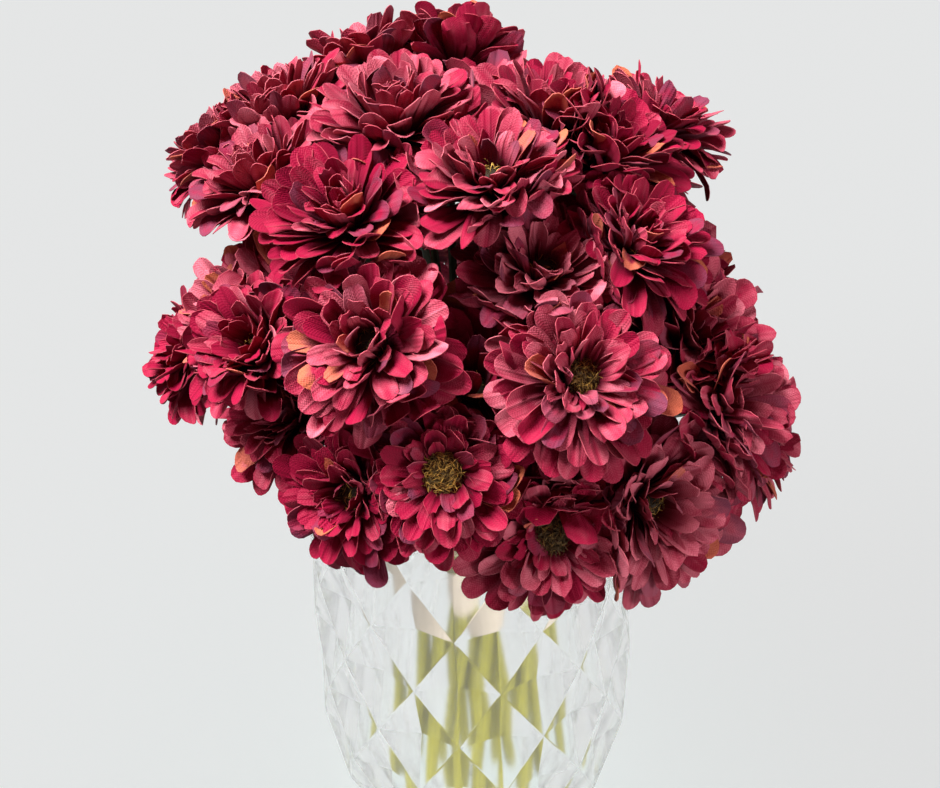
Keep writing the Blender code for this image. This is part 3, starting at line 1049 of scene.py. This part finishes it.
def bezier(start, leave, arrive, end, steps):
    """Points on a cubic curve."""
    points = []
    for step in range(steps + 1):
        t = step / steps
        u = 1 - t
        points.append(start * u**3 + leave * 3 * u * u * t + arrive * 3 * u * t * t + end * t**3)
    return points


class Build:
    """Points, faces and shader values of a piece made from several closed forms."""

    def __init__(self):
        # groove holds painted shade: rib grooves, branches and calyxes are darkened by it
        self.points, self.faces, self.groove, self.fresh = [], [], [], []

    def point(self, place, groove, fresh):
        """A point with its values for the shader."""
        self.points.append(place)
        self.groove.append(groove)
        self.fresh.append(fresh)

    def skin(self, first, rings, sides):
        """Faces between rings of points, with a cap on each end."""
        for ring in range(rings - 1):
            for side in range(sides):
                a = first + ring * sides + side
                b = first + ring * sides + (side + 1) % sides
                self.faces.append((a, b, b + sides, a + sides))
        self.faces.append(tuple(first + side for side in reversed(range(sides))))
        self.faces.append(tuple(first + (rings - 1) * sides + side for side in range(sides)))

    def tube(self, path, radius_at, sides, fresh):
        """A closed tube; radius_at(step share, angle) gives its radius and its painted shade."""
        first = len(self.points)
        before = (path[1] - path[0]).normalized()
        across = before.orthogonal().normalized()
        for index, place in enumerate(path):
            heading = (path[min(index + 1, len(path) - 1)] - path[max(index - 1, 0)]).normalized()
            across = before.rotation_difference(heading) @ across
            before = heading
            beside = heading.cross(across).normalized()
            for side in range(sides):
                angle = 2 * math.pi * side / sides
                radius, groove = radius_at(index / (len(path) - 1), angle)
                outward = across * math.cos(angle) + beside * math.sin(angle)
                self.point(place + outward * radius, groove, fresh)
        self.skin(first, len(path), sides)

    def calyx(self, centre, facing, roll):
        """A lobed cup under a flower."""
        turn = facing.to_track_quat("Z", "Y").to_matrix()
        sides = CALYX_LOBES * 3
        first = len(self.points)
        for level, (radius, height) in enumerate(CALYX_PROFILE):
            for side in range(sides):
                angle = 2 * math.pi * side / sides + roll
                lobe = max(0.0, math.cos(CALYX_LOBES * angle)) if level in LOBED_RINGS else 0.0
                local = Vector((
                    (radius + LOBE_OUT * lobe) * math.cos(angle),
                    (radius + LOBE_OUT * lobe) * math.sin(angle),
                    height + LOBE_UP * lobe,
                )) * MM
                self.point(centre + turn @ local, CALYX_SHADE, 1.0)
        self.skin(first, len(CALYX_PROFILE), sides)


def main_stem_radius(share, angle):
    """A ribbed stem that narrows at its top, with a slight swelling at two joints."""
    rib = math.cos(RIBS * angle)
    top = 1 - TOP_TAPER * max(0.0, (share - TOP_FROM) / TOP_LENGTH)
    joint = sum(JOINT_SWELL * math.exp(-(((share - at) / JOINT_SHARE) ** 2)) for at in STEM_JOINTS)
    radius = MAIN_STEM_RADIUS * top * (RIB_MIDDLE + RIB_DEPTH * rib + joint)
    # The second value is painted shade in the grooves between the ribs
    return radius, max(0.0, -rib) * 0.5


def branch_radius(share, angle):
    """A thin branch that is thicker where it leaves the stem."""
    return BRANCH_RADIUS * (1.0 + BRANCH_SWELL * (1 - share) ** 4), BRANCH_SHADE


def spray_piece(name, bearing, flowers):
    """The stem, branches and calyxes of one spray."""
    foot_height = FLOOR_HEIGHT + GAP
    if bearing is None:
        foot, hub = Vector((0.0, 0.0, foot_height)), Vector((0.0, 0.0, HUB_HEIGHT))
    else:
        foot = ring_stem_point(bearing, foot_height + STEM_SLANT * MAIN_STEM_RADIUS)
        hub = ring_stem_point(bearing, HUB_HEIGHT)
    rise = (hub - foot).normalized()
    build = Build()
    crown = hub + rise * CROWN
    path = [foot.lerp(crown, step / MAIN_STEPS) for step in range(MAIN_STEPS + 1)]
    build.tube(path, main_stem_radius, RIBS * 4, 0.0)
    for number, flower in enumerate(flowers):
        centre, facing = flower_place(flower)
        start = hub - rise * HUB_SINK
        end = centre - facing * (CALYX_DEPTH + GAP)
        span = (end - start).length
        leave = start + rise * span * LEAVE_SHARE
        arrive = end - facing * span * ARRIVE_SHARE
        path = bezier(start, leave, arrive, end, BRANCH_STEPS)
        build.tube(path, branch_radius, BRANCH_SIDES, 1.0)
        build.calyx(centre, facing, number)
    piece = mesh_piece(
        "stems_" + name, build.points, build.faces, STEM_PLASTIC,
        {"groove": build.groove, "fresh": build.fresh}, sharp=50,
    )
    return place_piece(piece, "green_plastic", "spray_" + name)


stem_pieces = [spray_piece(name, *spray) for name, spray in SPRAYS.items()]
print("stem pieces:", len(stem_pieces), "triangles:", triangle_count(*stem_pieces))

# %% [markdown]
# ## The tape
# The band is floral tape, wound on a slant so that each turn laps over the last, and its
# section follows the six stems that it pulls together. A long strip could be wound as the real
# tape is, but one closed band with a step at each lap looks the same and has no hidden layers.

# %% Build the band
WRAP_LENGTH = 38 * MM
WRAP_INNER = 16.6 * MM
TAPE_DEPTH, LAP_STEP = 1.15, 0.45  # mm
TURNS = 4.5
TAPE_SIDES, TAPE_ROWS = 96, 45
LAP_PLACE, LAP_SHARPNESS = 0.03, 14
TAPE_PLEATS = [(0.10, 23, 5), (0.08, 41, -9)]  # mm deep, how many round, slant
STEM_HOLLOW = 0.35  # mm


def tape_band():
    """A wound band: outer face with lapped turns, plain inner face."""
    points, faces, laps = [], [], []
    low = WAIST_HEIGHT - WRAP_LENGTH / 2
    for row in range(TAPE_ROWS + 1):
        share = row / TAPE_ROWS
        for side in range(TAPE_SIDES):
            angle = 2 * math.pi * side / TAPE_SIDES
            lap = (share * TURNS + side / TAPE_SIDES) % 1.0
            pleat = sum(d * math.sin(n * angle + slant * share) for d, n, slant in TAPE_PLEATS)
            hollow = STEM_HOLLOW * (0.5 - 0.5 * math.cos(6 * angle + 1.2 * share))
            radius = WRAP_INNER + (TAPE_DEPTH - hollow + LAP_STEP * (1 - lap) + pleat) * MM
            points.append(polar(radius, angle, low + share * WRAP_LENGTH))
            laps.append(max(0.0, 1 - abs(lap - LAP_PLACE) * LAP_SHARPNESS))
    for row in range(TAPE_ROWS):
        for side in range(TAPE_SIDES):
            a, b = row * TAPE_SIDES + side, row * TAPE_SIDES + (side + 1) % TAPE_SIDES
            faces.append((a, b, b + TAPE_SIDES, a + TAPE_SIDES))
    inner = len(points)
    for row in (TAPE_ROWS, 0):
        height = low + row / TAPE_ROWS * WRAP_LENGTH
        for side in range(TAPE_SIDES):
            points.append(polar(WRAP_INNER, 2 * math.pi * side / TAPE_SIDES, height))
            laps.append(0.0)
    rings = [TAPE_ROWS * TAPE_SIDES, inner, inner + TAPE_SIDES, 0]
    for first, second in zip(rings, rings[1:]):
        for side in range(TAPE_SIDES):
            after = (side + 1) % TAPE_SIDES
            faces.append((first + side, first + after, second + after, second + side))
    piece = mesh_piece("tape_band", points, faces, FLORAL_TAPE, {"lap": laps}, sharp=45)
    return place_piece(piece, "beige_tape", "stem_wrap")


band = tape_band()
print("band triangles:", triangle_count(band))

# %% [markdown]
# ## The vase
# Pressed glass is thick, with a smooth inside and a lattice of four-sided points outside. The
# facets have to be real geometry, because they bend the light that comes through. Each ridge
# is softened a little, as a mould leaves it.

# %% Build the vase
VASE_HEIGHT = 186 * MM
BODY_RADIUS = 60.5 * MM
FOOT_RADIUS = 36 * MM
FOOT_HEIGHT = 4 * MM
RIM_RADIUS = 61.5 * MM
SHOULDER_HEIGHT = 66 * MM
WALL = 6.0 * MM
RIM_WALL = 4.5 * MM
DIAMOND_COLUMNS = 12
DIAMOND_ROWS = 7
FIRST_ROW_HEIGHT = 10.4 * MM
ROW_PITCH = 24.8 * MM
RIDGE_OUT = 1.5 * MM
PIT_IN = 4.0 * MM
LATTICE_TURN = math.radians(-6.5)
ROUND_SHARE = 4  # sides of a round ring for each side of a lattice ring
RIDGE_SOFTNESS = 0.35 * MM
RIDGE_ANGLE = math.radians(3)
FOOT_DISH, FOOT_EDGE, FOOT_ROUND = 9 * MM, 4 * MM, 1 * MM
LIP = 1.6 * MM
RIM_BAND = 5 * MM
NECK_DROP = 12 * MM  # where the thin rim becomes the full wall
FLOOR_ROUND = 6 * MM
WALL_STEPS = 16


def body_radius(height):
    """The vase's outside radius: upright, then drawn in towards the foot."""
    below = max(0.0, 1.0 - height / SHOULDER_HEIGHT)
    return BODY_RADIUS - (BODY_RADIUS - FOOT_RADIUS) * below * below


def vase_piece():
    """Lattice of diamonds outside, smooth round wall inside, rounded lip."""
    coarse = 2 * DIAMOND_COLUMNS
    fine = coarse * ROUND_SHARE
    work = bmesh.new()

    def ring(sides, radius_at, height):
        made = []
        for step in range(sides):
            angle = LATTICE_TURN + 2 * math.pi * step / sides
            made.append(work.verts.new(polar(radius_at(step), angle, height)))
        return made

    def even(sides, radius, height):
        return ring(sides, lambda step: radius, height)

    def bridge(lower, upper):
        for step in range(len(lower)):
            after = (step + 1) % len(lower)
            work.faces.new((lower[step], lower[after], upper[after], upper[step]))

    def fan(coarse_ring, fine_ring, upward):
        for step in range(coarse):
            after = (step + 1) % coarse
            a, b = coarse_ring[step], coarse_ring[after]
            arc = [fine_ring[(step * ROUND_SHARE + k) % fine] for k in range(ROUND_SHARE + 1)]
            middle = ROUND_SHARE // 2
            faces = [(a, arc[k + 1], arc[k]) for k in range(middle)]
            faces.append((a, b, arc[middle]))
            faces += [(b, arc[k + 1], arc[k]) for k in range(middle, ROUND_SHARE)]
            for face in faces:
                work.faces.new(face if upward else tuple(reversed(face)))

    foot = [
        even(fine, FOOT_RADIUS - FOOT_DISH, FOOT_ROUND),
        even(fine, FOOT_RADIUS - FOOT_EDGE, 0.0),
        even(fine, FOOT_RADIUS - FOOT_ROUND, 0.0),
        even(fine, FOOT_RADIUS, FOOT_ROUND),
        even(fine, FOOT_RADIUS, FOOT_HEIGHT),
    ]
    work.faces.new(tuple(reversed(foot[0])))
    for lower, upper in zip(foot, foot[1:]):
        bridge(lower, upper)
    lattice = []
    for row in range(DIAMOND_ROWS):
        height = FIRST_ROW_HEIGHT + row * ROW_PITCH
        point = body_radius(height) + RIDGE_OUT
        pit = body_radius(height) - PIT_IN
        lattice.append(ring(coarse, lambda step: point if (step + row) % 2 else pit, height))
    fan(lattice[0], foot[-1], False)
    for row in range(DIAMOND_ROWS - 1):
        lower, upper = lattice[row], lattice[row + 1]
        for step in range(coarse):
            after = (step + 1) % coarse
            low, low_next, high, high_next = lower[step], lower[after], upper[step], upper[after]
            if (step + row) % 2:
                work.faces.new((low, low_next, high_next))
                work.faces.new((low, high_next, high))
            else:
                work.faces.new((low, low_next, high))
                work.faces.new((low_next, high_next, high))
    shoulder = FIRST_ROW_HEIGHT + (DIAMOND_ROWS - 0.5) * ROW_PITCH
    neck = BODY_RADIUS - RIM_WALL
    upper = [
        even(fine, BODY_RADIUS, shoulder),
        even(fine, RIM_RADIUS, VASE_HEIGHT - RIM_BAND),
        even(fine, RIM_RADIUS, VASE_HEIGHT - LIP),
        even(fine, RIM_RADIUS - 0.45 * LIP, VASE_HEIGHT - 0.4 * LIP),
        even(fine, RIM_RADIUS - LIP, VASE_HEIGHT),
        even(fine, neck + LIP, VASE_HEIGHT),
        even(fine, neck + 0.45 * LIP, VASE_HEIGHT - 0.4 * LIP),
        even(fine, neck, VASE_HEIGHT - LIP),
    ]
    fan(lattice[-1], upper[0], True)
    wall_top = VASE_HEIGHT - NECK_DROP
    wall_run = VASE_HEIGHT - FLOOR_HEIGHT - (NECK_DROP + FLOOR_ROUND)
    for step in range(WALL_STEPS + 1):
        height = wall_top - wall_run * step / WALL_STEPS
        upper.append(even(fine, body_radius(height) - WALL, height))
    floor_wall = body_radius(FLOOR_HEIGHT + FLOOR_ROUND) - WALL
    for turn in (30, 60, 90):
        angle = math.radians(turn)
        radius = floor_wall - FLOOR_ROUND * (1 - math.cos(angle))
        upper.append(even(fine, radius, FLOOR_HEIGHT + FLOOR_ROUND * (1 - math.sin(angle))))
    for lower, higher in zip(upper, upper[1:]):
        bridge(lower, higher)
    work.faces.new(tuple(upper[-1]))
    bmesh.ops.recalc_face_normals(work, faces=work.faces)

    on_lattice = {vertex for row in lattice for vertex in row}
    ridges = [
        edge for edge in work.edges
        if on_lattice.issuperset(edge.verts) and edge.calc_face_angle(0.0) > RIDGE_ANGLE
    ]
    bmesh.ops.bevel(
        work, geom=ridges, offset=RIDGE_SOFTNESS, offset_type="OFFSET", segments=2, profile=0.5,
        affect="EDGES", clamp_overlap=True,
    )
    mesh = bpy.data.meshes.new("vase_glass")
    work.to_mesh(mesh)
    work.free()
    mesh.materials.append(CLEAR_GLASS)
    mesh.shade_smooth()
    mesh.set_sharp_from_angle(angle=math.radians(9))
    piece = bpy.data.objects.new("vase_glass", mesh)
    bpy.context.scene.collection.objects.link(piece)
    return place_piece(piece, "clear_glass", "glass_vase")


vase = vase_piece()
print("vase triangles:", triangle_count(vase))

# %% [markdown]
# ## Floor and light
# The bouquet stands on a plain pale floor. One wide soft light, high up and to the left, makes
# the petals' nap glow and leaves the spaces between the flowers dark. A weak one low on the
# right keeps the shaded side from going black, and a third falls on the glass alone. These
# lights could shine on everything, but then the floor would need its own balance, so it glows
# by itself instead, and a little less in a soft spot beside the vase, as a painted soft shadow.
# The room is white where the glass shows it, dimmer in gloss, and a dim rose where it lights
# the cloth, as light that has bounced between red petals is.

# %% Floor, room and lights
FLOOR_GREYS = (0.29, 0.29, 0.29), (0.31, 0.31, 0.31)
# Painted soft shadow: the floor glows dimmer round this spot beside the vase
SHADOW_SPOT = (0.24, -0.02, 0.0)
SHADOW_REACH = 0.55
SHADOW_AND_FULL_GLOW = (0.826, 0.927, 0.907), (0.885, 1.0, 0.979)
FLOOR_EMISSION = 0.767


def pale_floor():
    """A wide round floor that isn't part of the object."""
    bpy.ops.mesh.primitive_circle_add(
        vertices=96, radius=6.0, fill_type="NGON", location=(0, 0, -0.0002)
    )
    floor = bpy.context.active_object
    floor.name = "floor"
    made, tree, shader = finish("pale_floor")
    place = Wire.node(tree, "TexCoord", None, None, "Object")
    grain = noise(place, 400.0, 2.0)
    # Painted soft shadow: dimmer glow near the spot beside the vase
    ends = {0: place, 1: SHADOW_SPOT}
    away = Wire.node(tree, "VectorMath", {"operation": "DISTANCE"}, ends, "Value")
    far = away.eased(0.0, SHADOW_REACH)
    set_shader(
        shader,
        Base_Color=blend(grain, *FLOOR_GREYS),
        Roughness=0.9,
        Specular_IOR_Level=0.0,
        Emission_Color=blend(far, *SHADOW_AND_FULL_GLOW),
        Emission_Strength=FLOOR_EMISSION,
    )
    floor.data.materials.append(made)


LIT_HEIGHT = 0.22  # metres above the floor, where the lights point


def soft_light(name, place, size, power, lit_pieces):
    """A square area light that faces the flowers and falls on these pieces only."""
    data = bpy.data.lights.new(name, "AREA")
    data.energy = power
    data.size = size
    light = bpy.data.objects.new(name, data)
    light.location = place
    aim = Vector((0.0, 0.0, LIT_HEIGHT)) - Vector(place)
    light.rotation_euler = aim.to_track_quat("-Z", "Y").to_euler()
    bpy.context.scene.collection.objects.link(light)
    lit = bpy.data.collections.new(name + "_lit")
    for piece in lit_pieces:
        lit.objects.link(piece)
    light.light_linking.receiver_collection = lit


ROOM_ROSE = (1.0, 0.22, 0.38)
# How bright the room is through glass, as a light on the cloth, in gloss, and to the camera
GLASS_GLOW, CLOTH_GLOW, GLOSS_GLOW, FLOOR_GLOW = 0.95, 0.34, 0.4, 0.789


def bright_room():
    """An even surrounding, with its own brightness for each kind of ray."""
    world = bpy.data.worlds.new("room")
    world.use_nodes = True
    tree = world.node_tree

    def ray(kind):
        return Wire.node(tree, "LightPath", None, None, f"Is {kind} Ray")

    dull = ray("Diffuse")
    strength = GLASS_GLOW + dull * (CLOTH_GLOW - GLASS_GLOW)
    strength = strength + ray("Glossy") * (GLOSS_GLOW - GLASS_GLOW)
    strength = strength + ray("Camera") * (FLOOR_GLOW - GLASS_GLOW)
    colour = blend(dull, (1.0, 1.0, 1.0), ROOM_ROSE)
    background = tree.nodes["Background"]
    tree.links.new(strength.socket, background.inputs["Strength"])
    tree.links.new(colour.socket, background.inputs["Color"])
    bpy.context.scene.world = world


pale_floor()
bright_room()
flower_pieces = petal_pieces + centre_pieces + stem_pieces + [band]
soft_light("key", place=(-1.05, -0.25, 2.6), size=1.3, power=312.0, lit_pieces=flower_pieces)
soft_light("side", place=(1.75, -1.2, 0.5), size=0.7, power=28.0, lit_pieces=flower_pieces)
soft_light("fill", place=(0.4, -2.2, 1.3), size=2.4, power=60.0, lit_pieces=[vase])
# The glass casts no shadow, and petals aren't seen through it, or it would turn dark and red.
vase.visible_shadow = False
for piece in petal_pieces + centre_pieces:
    piece.visible_transmission = False
bpy.context.scene.view_settings.view_transform = "Standard"
cycles = bpy.context.scene.cycles
cycles.use_denoising = True
cycles.max_bounces = cycles.transmission_bounces = cycles.glossy_bounces = 32

# %% [markdown]
# ## Count the triangles
# The dressed model has to stay the size of the CAD model. The last cell counts the triangles
# of every piece that renders.

# %% Count the triangles
shown = [o for o in bpy.context.scene.objects if o.type == "MESH" and not o.hide_render]
print("triangles in all:", triangle_count(*shown))
